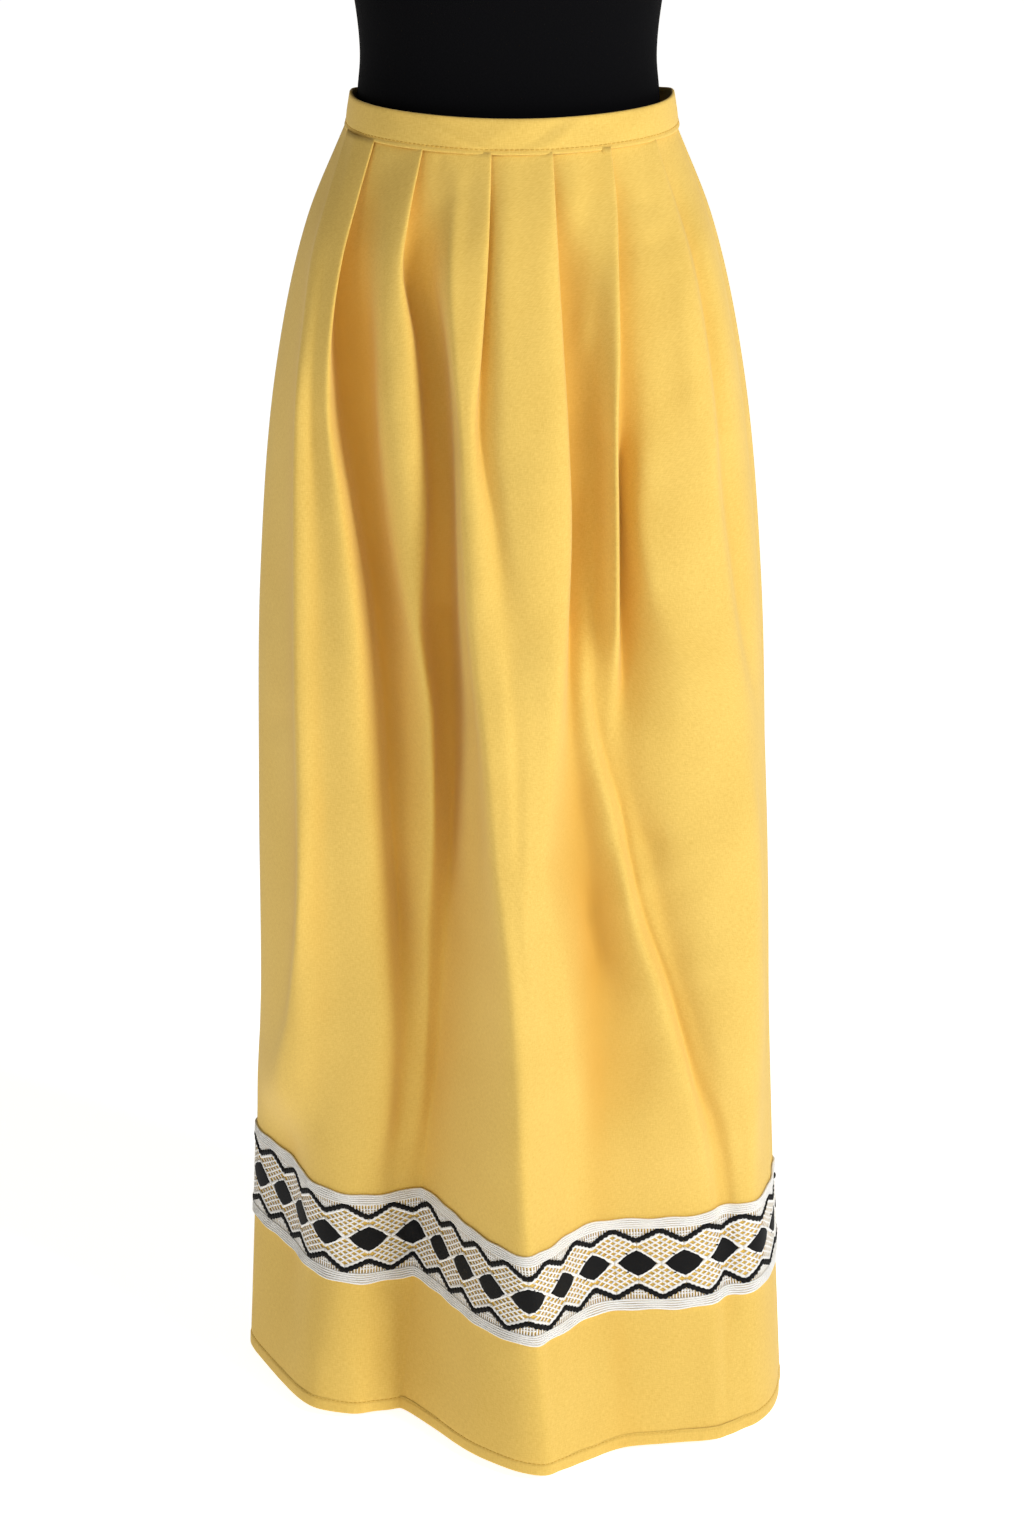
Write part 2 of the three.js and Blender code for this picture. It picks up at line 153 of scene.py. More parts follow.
# Fold lines of the front in mm, from the left seam to the right one. Each is followed down as
# (drop below the waist's top, x, y) from the middle of the waist: a fold's edge, the hollow under
# it, the ramp that the next panel climbs, or a panel's middle.
FRONT_FOLDS = {
    "left seam": [(24, -114, 0), (90, -141, 2), (200, -165, 4), (350, -179, 6), (520, -184, 10),
        (680, -187, 30), (834, -195, 92), (1010, -203, 60)],
    "hollow by a": [(24, -110, -27), (60, -123, -31), (100, -136, -43), (150, -143.5, -54),
        (200, -149, -61), (350, -154, -63), (435, -156, -59), (520, -156, -51), (600, -159, -41),
        (680, -167, -23), (757, -184, 18), (834, -190, 68), (1010, -192, 26)],
    "edge a": [(24, -112, -22), (60, -124, -40), (100, -135, -56), (150, -142, -70), (200, -147, -79),
        (350, -151, -81), (520, -152, -70), (600, -155, -58), (680, -163, -36), (757, -172, -8),
        (834, -165, 28), (1010, -170, -18)],
    "shoulder a": [(24, -108, -34), (100, -130, -63), (200, -140, -81), (350, -144, -82.5),
        (520, -145, -71), (680, -151, -43), (834, -152, -6), (1010, -152, -43)],
    "panel ab": [(24, -103, -43), (60, -114, -56), (100, -124, -69), (200, -134, -83), (350, -132, -83),
        (520, -130, -70), (680, -126, -49), (834, -130, -28), (1010, -136, -51)],
    "edge b": [(24, -93, -54), (60, -104, -66), (100, -115, -77), (150, -123, -86), (200, -125, -90),
        (270, -117, -91), (350, -108, -90), (435, -102, -84), (520, -98, -76), (600, -93, -66),
        (680, -90, -56), (757, -92, -43), (834, -106, -33), (1010, -118, -54)],
    "hollow by b": [(24, -96, -49), (60, -112, -54), (100, -120, -58), (150, -121, -60), (200, -117, -60),
        (270, -107, -58), (350, -97, -52), (435, -91, -50), (520, -87, -46), (600, -83, -38),
        (680, -80, -38), (757, -84, -30), (834, -92, -28), (1010, -108, -51)],
    "ramp bc": [(24, -86, -57.5), (60, -95, -64), (100, -102, -65), (150, -98, -66), (200, -96, -66),
        (270, -92, -64), (350, -82, -62), (520, -76, -50), (680, -72, -36), (834, -84, -25),
        (1010, -100, -48)],
    "crest c": [(24, -72, -68), (60, -80, -81), (100, -86, -90), (150, -87.5, -95), (200, -87, -98),
        (270, -80, -97), (350, -71, -90), (435, -60, -80), (520, -58, -66), (600, -62, -52),
        (680, -63, -38), (757, -68, -28), (834, -78, -23), (1010, -94, -47)],
    "edge c": [(24, -60, -78), (60, -68, -90), (100, -74, -98), (150, -68, -103), (200, -64, -105),
        (270, -61, -103), (350, -64, -93), (435, -56, -79), (520, -55, -64), (600, -57, -48),
        (680, -59, -34), (757, -64, -25), (834, -73, -21), (1010, -90, -46)],
    "hollow by c": [(24, -65.5, -71.5), (60, -71, -78), (100, -73, -81), (150, -64, -82), (200, -59, -84),
        (270, -56, -80), (350, -58, -68), (435, -52, -56), (520, -52, -52), (600, -52, -40),
        (680, -55, -30), (757, -61, -22), (834, -69, -20), (1010, -86, -45)],
    "valley": [(24, -55, -77.5), (60, -60, -81), (100, -58, -82), (150, -50, -83), (200, -46, -83),
        (270, -43, -78), (350, -43, -62), (435, -41, -50), (520, -43, -40), (600, -47, -38),
        (680, -52, -30), (757, -58, -22), (834, -66, -21), (1010, -83, -46)],
    "wall low": [(24, -48, -80.5), (60, -52, -86), (100, -51, -90), (150, -44, -98), (200, -40, -102),
        (270, -38, -100), (350, -36, -92), (435, -32, -78), (520, -34, -64), (600, -36, -56),
        (680, -38, -54), (834, -48, -50), (1010, -54, -80)],
    "wall high": [(24, -42, -83.5), (60, -45, -91), (100, -46, -102), (150, -42, -112), (200, -37, -118),
        (270, -35, -120), (350, -31, -116), (435, -24, -108), (520, -22, -98), (680, -18, -98),
        (834, -20, -99), (1010, -18, -121)],
    "main ridge": [(24, -34, -86), (60, -38, -97), (100, -41, -110), (150, -39, -121), (200, -35, -128),
        (270, -33, -133), (350, -28, -136), (435, -19, -137), (520, -13, -136), (600, -5, -134),
        (680, 1, -132), (757, 6, -129), (834, 11, -127), (920, 18, -133), (1010, 25, -141)],
    "ridge right": [(24, -24, -89), (60, -28, -100), (100, -32, -112), (150, -32, -123.5),
        (200, -32, -130), (270, -26, -137), (350, -19, -140), (435, -11, -140), (520, -6, -139),
        (680, 8, -133), (834, 19, -121), (1010, 34, -136)],
    "edge e": [(24, -14, -91), (60, -15, -103), (100, -17, -112.5), (150, -21, -122), (200, -26, -129),
        (270, -19, -135), (350, -10, -139), (435, -3, -140), (520, 0, -139), (680, 14, -129),
        (834, 27, -112), (1010, 43, -130)],
    "hollow by e": [(24, -20, -86.6), (60, -19, -94), (100, -20, -102), (150, -21, -111),
        (200, -22, -119), (270, -12, -130), (350, -3, -137), (435, 3, -138), (520, 5, -138),
        (680, 21, -124), (834, 34, -101), (1010, 52, -123)],
    "ramp ef": [(24, -6, -89), (60, -8, -101), (100, -10, -111), (150, -11, -120), (200, -11, -127),
        (270, -4, -134), (350, 6, -137), (435, 10, -138), (520, 10, -137), (680, 27, -118),
        (834, 41, -91), (1010, 60, -117)],
    "panel ef": [(24, 10, -89.3), (60, 8, -103), (100, 6, -114), (200, 5, -131), (350, 16, -139),
        (435, 20, -136), (520, 16, -134), (680, 34, -111), (834, 49, -82), (1010, 69, -110)],
    "edge f": [(24, 27, -89), (60, 29, -100.5), (100, 31, -109.5), (150, 34, -118), (200, 37, -124.5),
        (270, 39, -130), (350, 36, -135), (435, 31, -131), (520, 24, -128), (600, 36, -114),
        (680, 44, -103), (834, 58, -76), (1010, 80, -104)],
    "hollow by f": [(24, 21, -86.6), (60, 25, -90), (100, 28, -92), (150, 31, -95), (200, 34, -97),
        (270, 38, -96), (350, 39, -96), (435, 42, -112), (488, 48, -104), (530, 54, -98), (578, 60, -92),
        (625, 64, -87), (680, 67, -84), (757, 72, -80), (834, 78, -71), (1010, 96, -99)],
    "crest i": [(24, 36, -84.5), (60, 40, -93), (100, 44, -93), (150, 47, -96), (200, 50, -96),
        (270, 51, -97), (350, 48, -99), (400, 50, -108), (435, 56, -114), (488, 69, -112),
        (530, 78, -110), (578, 88, -107), (625, 103, -103), (670, 115, -98), (715, 127, -91),
        (757, 135, -81), (834, 144, -61), (1010, 152, -90)],
    "wall by i": [(24, 52, -79.3), (60, 54, -89.5), (100, 58, -99), (150, 60, -103), (200, 62, -106),
        (270, 63, -107), (350, 60, -104), (400, 57, -103), (435, 61, -103), (488, 75, -99),
        (530, 83, -97), (578, 94, -94), (625, 109, -89), (670, 121, -83), (715, 132, -76),
        (757, 142, -66), (834, 153, -50), (1010, 161, -85)],
    "edge g": [(24, 66, -76), (60, 70, -88), (100, 71, -103), (150, 72, -111), (200, 71, -117),
        (270, 72, -120), (350, 73, -115), (400, 71, -104), (435, 67, -102), (488, 80, -98.5),
        (530, 88, -97), (578, 99, -94), (625, 114, -89), (670, 126, -83), (715, 138, -75),
        (757, 149, -62), (834, 161, -46), (1010, 168, -80)],
    "hollow by g": [(24, 60, -77.5), (60, 66, -79), (100, 69, -86), (150, 72, -92), (200, 73, -93),
        (270, 73.5, -86), (350, 75, -88), (400, 77, -94), (435, 78, -102), (530, 99, -98),
        (600, 114, -93), (680, 137, -84), (720, 147, -76), (757, 157, -65), (834, 167, -47),
        (1010, 175, -74)],
    "ramp gh": [(24, 76, -65.5), (60, 79, -76), (100, 81, -86), (150, 82, -93), (200, 86, -97),
        (270, 84, -101), (350, 92, -101), (400, 96, -106), (435, 98, -110), (520, 116, -107),
        (600, 132, -100), (680, 150, -88), (720, 160, -78), (757, 167, -65), (834, 173, -46),
        (1010, 181, -70)],
    "diagonal": [(24, 85, -58.5), (60, 92, -72), (100, 100, -84), (150, 104, -94), (200, 104, -99),
        (270, 101, -106), (312, 101, -109), (342, 112, -109), (372, 124, -109), (410, 140, -106),
        (447, 153, -103), (478, 164, -97), (520, 170, -94), (600, 173, -90), (680, 177, -80),
        (757, 178, -62), (834, 180, -42), (1010, 188, -62)],
    "edge j": [(24, 97, -49), (60, 108, -62), (100, 120, -76), (150, 130, -86), (200, 136, -90),
        (270, 141, -94), (350, 152, -94), (435, 167, -86), (520, 177, -74), (600, 181, -66),
        (680, 184, -56), (834, 187, -29), (1010, 195, -50)],
    "hollow by j": [(24, 94, -50.5), (60, 108, -52), (100, 122, -61), (150, 132, -69), (200, 139, -74),
        (270, 146, -77), (350, 157, -77), (435, 172, -70), (520, 180, -58), (680, 187, -40),
        (834, 191, -15), (1010, 200, -36)],
    "panel jk": [(24, 105, -30), (60, 117, -42), (100, 131, -57), (200, 149, -67), (350, 167, -65),
        (520, 182, -42), (680, 188.5, -26), (834, 194, -4), (1010, 203, -20)],
    "edge k": [(24, 111, -12), (60, 126, -17), (100, 139, -30), (200, 158, -38), (350, 173, -38),
        (520, 183.5, -20), (680, 189, -8), (834, 195, 8), (1010, 204, -8)],
    "hollow by k": [(24, 109.5, -6), (60, 124, -8), (100, 138, -12), (200, 158, -12), (350, 174, -10),
        (520, 183, 0), (834, 196, 17), (1010, 205, -2)],
    "right seam": [(24, 112, 3), (90, 138, 4), (200, 162, 6), (350, 177, 8), (520, 184, 14),
        (680, 190, 18), (834, 197, 28), (1010, 205, 8)],
}
# The back's plan, at DROPS mm below the waist's top: how far it lies behind the middle of the waist,
# and how deep its hollows are at the centre, in mm.
DROPS = np.array([BAND_HEIGHT, 90, 200, 350, 520, 680, 834, SKIRT_LENGTH], float)
BACK_PLEATS = 8
BACK_DEPTH = np.array([90, 106, 128, 137, 141, 146, 152, 157], float)
BACK_RELIEF = np.array([1.5, 5, 9, 13, 15, 15, 15, 14], float)
BACK_SWAY = [0.5, -0.2, 0.3, -0.4, 0.3, -0.3, 0.2, -0.5]  # degrees each ridge wanders by a key


def back_folds():
    """Fold lines of the back: points of a half oval between the side seams. Each pleat gives its
    edge on the oval, the hollow behind it and its panel's middle, drawn in by part of the relief."""
    keys = np.arange(len(DROPS))
    opened = np.sqrt(keys / keys[-1])
    right = np.array(FRONT_FOLDS["right seam"], float)[:, 1:]
    left = np.array(FRONT_FOLDS["left seam"], float)[:, 1:]

    def point(degrees, inset):
        turn = np.radians(degrees)
        middle = (right[:, 0] + left[:, 0]) / 2
        half_width = (right[:, 0] - left[:, 0]) / 2 - inset
        side = (right[:, 1] * (1 + np.cos(turn)) + left[:, 1] * (1 - np.cos(turn))) / 2
        depth = BACK_DEPTH - inset - side
        return np.stack([middle + half_width * np.cos(turn), side + depth * np.sin(turn)], axis=1)

    pitch = 180 / BACK_PLEATS
    folds = []
    for pleat in range(BACK_PLEATS):
        faces_on = 1 if pleat < BACK_PLEATS // 2 else -1
        ridge = pitch * (pleat + 0.5) + BACK_SWAY[pleat] * keys
        reach = -0.9 + (pitch * 0.4 + 0.9) * opened
        relief = BACK_RELIEF * (0.3 + 0.7 * np.sin(np.radians(ridge)))
        panel = point(ridge - faces_on * pitch * 0.3, relief * 0.6)
        hollow = point(ridge + faces_on * reach, relief + 4.5 * (1 - opened))
        edge = point(ridge, 0)
        folds += [panel, edge, hollow] if faces_on > 0 else [hollow, edge, panel]
    return folds


def spline(knots, values, places, closed=False):
    """A natural (or closed) cubic spline through values, one row for each knot, read at places.
    Second derivatives solve the usual tridiagonal system; each place mixes its two neighbours."""
    knots = np.asarray(knots, float)
    values = np.asarray(values, float)
    if closed:  # a few turns of neighbours on each side stand in for a closed system
        wrap = 6
        span = knots[-1] - knots[0]
        knots = np.concatenate([knots[-1 - wrap : -1] - span, knots, knots[1 : 1 + wrap] + span])
        values = np.concatenate([values[-1 - wrap : -1], values, values[1 : 1 + wrap]])
    gap = np.diff(knots)
    count = len(knots)
    system = np.eye(count)
    rising = np.diff(values, axis=0) / gap[:, None]
    target = np.zeros_like(values)
    inner = np.arange(1, count - 1)
    system[inner, inner - 1] = gap[:-1]
    system[inner, inner] = 2 * (gap[:-1] + gap[1:])
    system[inner, inner + 1] = gap[1:]
    target[1:-1] = 6 * (rising[1:] - rising[:-1])
    bend = np.linalg.solve(system, target)
    at = np.clip(np.searchsorted(knots, places, side="right") - 1, 0, count - 2)
    width = gap[at][:, None]
    high = (np.asarray(places) - knots[at])[:, None]
    low = width - high
    return (
        (bend[at] * low**3 + bend[at + 1] * high**3) / (6 * width)
        + (values[at] / width - bend[at] * width / 6) * low
        + (values[at + 1] / width - bend[at + 1] * width / 6) * high
    )


def eased(knots, values, places):
    """A curve through values that doesn't overshoot: Hermite pieces whose slope at each knot is the
    mean of its two neighbours' slopes, or 0 where they disagree in sign."""
    knots = np.asarray(knots, float)
    values = np.asarray(values, float)
    gap = np.diff(knots)
    rise = np.diff(values, axis=0) / gap[:, None]
    slope = np.concatenate([rise[:1], (rise[1:] + rise[:-1]) / 2, rise[-1:]])
    limit = 2.5 * np.minimum(np.abs(rise[1:]), np.abs(rise[:-1])) * (rise[1:] * rise[:-1] > 0)
    slope[1:-1] = np.clip(slope[1:-1], -limit, limit)
    at = np.clip(np.searchsorted(knots, places, side="right") - 1, 0, len(knots) - 2)
    t = ((np.asarray(places) - knots[at]) / gap[at])[:, None]
    return (
        (2 * t**3 - 3 * t**2 + 1) * values[at]
        + (t**3 - 2 * t**2 + t) * gap[at][:, None] * slope[at]
        + (3 * t**2 - 2 * t**3) * values[at + 1]
        + (t**3 - t**2) * gap[at][:, None] * slope[at + 1]
    )


SEAM = len(FRONT_FOLDS) - 1  # the right side seam's place among the folds
STEPS = 9  # columns from one fold line to the next
HEM_STITCH = SKIRT_LENGTH - 8.5  # mm, drop of the hem's stitch line
cloth_drops = np.concatenate([
    np.linspace(BAND_HEIGHT - 2, 90, 18)[:-1],  # it starts inside the band
    np.linspace(90, 350, 50)[:-1],
    np.linspace(350, HEM_STITCH - 2, 110),
    HEM_STITCH + np.array([-1, 0, 1, 2, 4.5, 7.5, 8.5]),
])
# Small creases pressed or worn into the front: (x, drop) of the two ends in mm, how far it stands
# out, and how wide it is.
CREASES = [
    ((77, 508), (100, 512), -2.2, 9), ((82, 560), (132, 520), 1.6, 10), ((88, 640), (150, 610), 1.4, 9),
    ((-34, 358), (-58, 352), -1.6, 7), ((150, 236), (176, 262), -1.8, 9),
    ((140, 226), (120, 190), 1.4, 9), ((36, 362), (62, 470), 1.6, 9), ((90, 262), (64, 216), -1.8, 10),
    ((62, 50), (92, 62), -1.2, 7), ((70, 92), (104, 84), -1.0, 8), ((-26, 40), (-40, 52), -0.8, 4),
    ((-160, 440), (-178, 466), -1.6, 7), ((150, 930), (152, 990), 1.0, 6),
    ((44, 800), (52, 640), 1.2, 14), ((92, 760), (110, 700), 1.6, 14),
    ((-96, 930), (-100, 1000), 1.4, 12), ((-150, 640), (-138, 780), -1.4, 14),
    ((12, 240), (8, 400), 1.4, 14), ((-110, 180), (-100, 300), 1.2, 9), ((116, 120), (124, 190), 1.2, 8),
    ((48, 150), (56, 60), 0.9, 7), ((-6, 160), (-10, 60), 0.8, 7), ((-84, 60), (-88, 150), 0.8, 6),
    ((30, 520), (64, 610), -1.4, 12), ((136, 560), (168, 500), 1.6, 12), ((60, 930), (66, 1000), 1.2, 12),
    ((-20, 900), (-36, 990), 1.2, 14),
]
# Slack in the cloth, as (shortest and longest wave in mm, height as a share of the length, number
# of waves), and the mm below the band over which all wear comes in.
SLACK = ((30, 110, 0.0022, 30), (16, 34, 0.0012, 24))
WEAR_RISE = 40


def worn(x, drop):
    """How far the cloth stands out in mm: each crease is height times exp(-(distance/width)^2) from
    its line, and the slack between them is a sum of 54 seeded plane waves 16 to 110 mm long."""
    total = np.zeros_like(x)
    for (x0, drop0), (x1, drop1), height, width in CREASES:
        long = (x1 - x0) ** 2 + (drop1 - drop0) ** 2
        t = np.clip(((x - x0) * (x1 - x0) + (drop - drop0) * (drop1 - drop0)) / long, 0, 1)
        distance = (x - x0 - t * (x1 - x0)) ** 2 + (drop - drop0 - t * (drop1 - drop0)) ** 2
        total += height * np.exp(-distance / width**2)
    draw = np.random.default_rng(7)
    for shortest, longest, steepness, count in SLACK:
        for _ in range(count):
            length, turn = draw.uniform(shortest, longest), draw.uniform(-1.2, 1.2)
            travel = (x * math.cos(turn) + drop * math.sin(turn) * 0.6) / length
            total += steepness * length * np.sin(2 * math.pi * (travel + draw.uniform(0, 1)))
    return total * np.clip((drop - BAND_HEIGHT) / WEAR_RISE, 0, 1)


BACK_DIP, FRONT_RISE = 8, 3.2  # mm that the waist sits lower at the back and higher at the front
BACK_RUN, FRONT_RUN, SLOPE_END = 50, 85, 250  # mm: the two steps' lengths, and where they have faded


def dip(y, drop):
    """How much lower the cloth sits at y mm behind the waist's middle: a smooth step behind it and
    one in front, which fade out downwards."""
    behind = np.clip(y / BACK_RUN, 0, 1)
    before = np.clip(-y / FRONT_RUN, 0, 1)
    fading = np.clip(1 - (drop - BAND_HEIGHT) / (SLOPE_END - BAND_HEIGHT), 0, 1)
    step = BACK_DIP * behind**2 * (3 - 2 * behind) - FRONT_RISE * before**2 * (3 - 2 * before)
    return step * fading**2 * (3 - 2 * fading)


def hanging_cloth(drops):
    """The middle surface of the cloth, as [drop, column, xyz] in metres, all round from the left
    seam: fold lines are eased downwards, then each level is a closed spline through them by the
    square root of chord length."""
    lines = [eased([k[0] for k in fold], [k[1:] for k in fold], drops) for fold in FRONT_FOLDS.values()]
    lines += [eased(DROPS, fold, drops) for fold in back_folds()]
    lines = np.stack(lines, axis=1)
    count = lines.shape[1]
    rows = []
    for line, drop in zip(lines, drops):
        closed = np.concatenate([line, line[:1]])
        chord = np.sqrt(np.linalg.norm(np.diff(closed, axis=0), axis=1))
        knots = np.concatenate([[0], np.cumsum(chord)])
        places = np.interp(np.arange(count * STEPS + 1) / STEPS, np.arange(count + 1), knots)
        ring = spline(knots, closed, places, closed=True)
        rows.append(np.column_stack([ring, np.full(len(ring), -drop)]))
    cloth = np.array(rows)
    front = cloth[:, : SEAM * STEPS + 1]
    forward = np.clip(-front[..., 1] / 20, 0, 1)  # no creases where the front turns to the sides
    front[..., 1] -= forward * worn(front[..., 0], -front[..., 2])
    cloth[..., 2] -= dip(cloth[..., 1], -cloth[..., 2])
    cloth *= MM
    cloth[..., 1] += WAIST_Y
    cloth[..., 2] += WAIST_Z
    return cloth


def sheet_mesh(name, grid, uv, material):
    """A mesh object of one quad for each cell of a grid [row, column, xyz], rows downwards and
    columns counter-clockwise seen from above, so faces point out. uv is its map of the cut cloth."""
    index = np.arange(grid[..., 0].size).reshape(grid.shape[:2])
    quads = np.stack([index[:-1, :-1], index[1:, :-1], index[1:, 1:], index[:-1, 1:]], axis=-1)
    made = mesh_object(name, grid, quads.reshape(-1, 4).tolist(), material)
    layer = made.data.uv_layers.new(name="cut")
    layer.data.foreach_set("uv", uv.reshape(-1, 2)[quads.ravel()].ravel())
    return made


def cut_plan(grid):
    """UV in metres of cloth: distance along each level from its first column, and down the rows."""
    across = np.linalg.norm(np.diff(grid, axis=1), axis=2)
    down = np.linalg.norm(np.diff(grid, axis=0), axis=2).mean(axis=1)
    u = np.concatenate([np.zeros((len(grid), 1)), np.cumsum(across, axis=1)], axis=1)
    v = -np.concatenate([[0], np.cumsum(down)])
    return np.stack([u, np.repeat(v[:, None], u.shape[1], axis=1)], axis=-1)


def cotton_cloth(name, code, shade, deep):
    """Plain-woven cotton, washed soft: matt, a faint bloom of fibre ends, and warp and weft that
    show as small irregular steps. Threads are 0.35 mm apart; they are drawn 0.8 mm apart, because
    finer ones can't be seen, with slubs about 4 mm long along both of them, and the tone varies in
    patches of 60 mm. A cloth attribute from 0 to 1 mixes in the colour deep: painted shade, darker
    and warmer in the hollows of the folds."""
    weave, slub_length = 1300.0, 0.2  # steps in a metre, and a slub's stretch along its thread
    made, tree, shader = plain_material(
        name, Roughness=0.88, Specular_IOR_Level=0.3, Sheen_Weight=0.12, Sheen_Roughness=0.6)
    cut = node(tree, "ShaderNodeUVMap", uv_map="cut")
    heights = []
    for stretch in ((1.0, slub_length, 1.0), (slub_length, 1.0, 1.0)):
        laid = node(tree, "ShaderNodeMapping", {"Vector": cut.outputs["UV"]}, Scale=stretch)
        slub = node(tree, "ShaderNodeTexNoise", {"Vector": laid.outputs["Vector"]}, Scale=weave, Detail=1.5)
        heights.append(slub.outputs["Fac"])
    woven = node(tree, "ShaderNodeMath", {0: heights[0], 1: heights[1]}, operation="ADD").outputs[0]
    wear = node(tree, "ShaderNodeTexNoise", {"Vector": cut.outputs["UV"]}, Scale=16.0, Detail=5.0)
    mixed = node(tree, "ShaderNodeMath", {0: wear.outputs["Fac"], 2: woven}, operation="MULTIPLY_ADD")
    mixed.inputs[1].default_value = 0.45
    tone = node(tree, "ShaderNodeMapRange", {"Value": mixed.outputs[0]}, From_Min=0.75, From_Max=1.6)
    tint = node(
        tree, "ShaderNodeMix", {"Factor": tone.outputs["Result"]}, data_type="RGBA",
        A=linear(shade), B=linear(code))
    # Painted shade: a share from 0 to 1 at each point mixes the colour deep into the hollows of the folds.
    hollow_shade_share = node(tree, "ShaderNodeAttribute", attribute_name="painted_hollow_shade", attribute_type="GEOMETRY")
    hollow_shaded = node(
        tree, "ShaderNodeMix", {"Factor": hollow_shade_share.outputs["Fac"], "A": tint.outputs["Result"]},
        data_type="RGBA", B=linear(deep))
    tree.links.new(hollow_shaded.outputs["Result"], shader.inputs["Base Color"])
    bump = node(tree, "ShaderNodeBump", {"Height": woven}, Strength=0.25, Distance=0.0003)
    tree.links.new(bump.outputs["Normal"], shader.inputs["Normal"])
    return made


def facing_of(grid):
    """Unit outward directions of a grid [row, column, xyz], rows downwards."""
    out = np.cross(np.gradient(grid, axis=0), np.gradient(grid, axis=1))
    return out / np.linalg.norm(out, axis=2, keepdims=True)


# The third colour is painted shade for the hollows of the folds; the first two are the cloth's own tones.
cotton = cotton_cloth("plain-woven yellow cotton", "#ecc968", "#dcb451", "#d8a541")

cloth = hanging_cloth(cloth_drops)
cloth_facing = facing_of(cloth)
# The hem: turned up inside twice, so it stands out a little below the groove of its stitches.
below = cloth_drops - HEM_STITCH
HEM_PROUD, HEM_GROOVE = 0.45, 0.35  # mm
proud = np.where(below > 0.5, HEM_PROUD, 0) - HEM_GROOVE * (np.abs(below) < 0.5)
outer = cloth + cloth_facing * proud[:, None, None] * MM
turned_up = [outer[-1] - cloth_facing[-1] * inset * MM + [0, 0, rise * MM] for inset, rise in (
    (0.6, -0.4), (1.3, -0.1), (1.9, 0.8), (2.0, 4.0), (2.0, 7.5), (1.7, 10.0))]
cloth = np.concatenate([outer, turned_up])
# Painted shade in the hollows of the folds, darker and warmer where they lie back: 0 on a ridge,
# up to 1 where the cloth lies 14 mm behind its mean over 12 columns to either side.
SHADE_REACH, SHADE_DEPTH = 12, 14 * MM
ring = np.concatenate([cloth[:, -SHADE_REACH - 1 : -1], cloth, cloth[:, 1 : SHADE_REACH + 1]], axis=1)
level = np.mean([ring[:, shift : shift + cloth.shape[1]] for shift in range(2 * SHADE_REACH + 1)], axis=0)
painted_hollow_shade = np.clip(((level - cloth) * facing_of(cloth)).sum(axis=2) / SHADE_DEPTH, 0, 1)
painted_hollow_shade[-len(turned_up) :] = 0
CLOTH_THICKNESS = 0.0008
for name, first, last in (
    ("skirt_front", 0, SEAM * STEPS),
    ("skirt_back", SEAM * STEPS, cloth.shape[1] - 1),
):
    part = cloth[:, first : last + 1]
    panel = sheet_mesh(f"{name}_cloth", part, cut_plan(part), cotton)
    # Each panel carries the painted shade of its folds' hollows as a point attribute.
    hollow_shade_layer = panel.data.attributes.new("painted_hollow_shade", "FLOAT", "POINT")
    hollow_shade_layer.data.foreach_set("value", painted_hollow_shade[:, first : last + 1].ravel())
    wall = panel.modifiers.new("cloth thickness", "SOLIDIFY")
    wall.thickness = CLOTH_THICKNESS
    wall.offset = 0
    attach(panel, "root")
    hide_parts(name)


# ---- Lace -----------------------------------------------------------------------------------------
# Cotton insertion lace sewn flat on the cloth: a ribbed white heading along both edges, a fine net,
# black gimp cord in zigzag, and solid black diamonds between crossing white ribs. Every thread is
# worked out flat, in mm along the strip, across it and off the cloth, and then laid on the folds.
LACE_TOP, LACE_HEIGHT = 834, 72  # mm below the waist's top, mm
FRONT_REPEATS, BACK_REPEATS = 17, 15
REPEAT = 35.1  # mm, one diamond with one crossing
LACE_START = 5.5  # mm of strip from the left seam to the first crossing
OFF_CLOTH = 0.6  # mm from the cloth's middle surface to the underside of the lace
LEVEL_STEP, STRIP_STEP = 3.0, 0.6  # mm down and along between the points that threads are laid by

lace_levels = np.arange(LACE_TOP - LEVEL_STEP, LACE_TOP + LACE_HEIGHT + LEVEL_STEP + 0.1, LEVEL_STEP)
lace_cloth = hanging_cloth(lace_levels) / MM
steps_across = np.linalg.norm(np.diff(lace_cloth, axis=1), axis=2)
run = np.concatenate([np.zeros((len(lace_levels), 1)), np.cumsum(steps_across, axis=1)], axis=1)
front_run = run[:, SEAM * STEPS].mean()
whole_run = run[:, -1].mean()
strip = np.arange(0, whole_run, STRIP_STEP)
laid = []
for level, lengths in zip(lace_cloth, run):
    share = np.interp(lengths, [0, lengths[SEAM * STEPS], lengths[-1]], [0, front_run, whole_run])
    laid.append(np.stack([np.interp(strip, share, level[:, axis]) for axis in range(3)], axis=1))
laid = np.array(laid)
along = np.roll(laid, -2, axis=1) - np.roll(laid, 2, axis=1)
facing = np.cross(np.gradient(laid, axis=0), along)
facing /= np.linalg.norm(facing, axis=2, keepdims=True)


def on_cloth(points):
    """Points (along the strip, up from its middle line, off the cloth) in mm laid on the folded
    cloth, in metres: both the cloth's place and its facing are read between four grid points."""
    u = (points[..., 0] % whole_run) / whole_run * len(strip)
    v = (LACE_TOP + LACE_HEIGHT / 2 - points[..., 1] - lace_levels[0]) / LEVEL_STEP
    left, row = np.floor(u).astype(int), np.clip(np.floor(v).astype(int), 0, len(lace_levels) - 2)
    du, dv = (u - left)[..., None], (v - row)[..., None]
    left, right = left % len(strip), (left + 1) % len(strip)

    def read(table):
        upper = table[row, left] * (1 - du) + table[row, right] * du
        lower = table[row + 1, left] * (1 - du) + table[row + 1, right] * du
        return upper * (1 - dv) + lower * dv

    return (read(laid) + read(facing) * (points[..., 2] + OFF_CLOTH)[..., None]) * MM


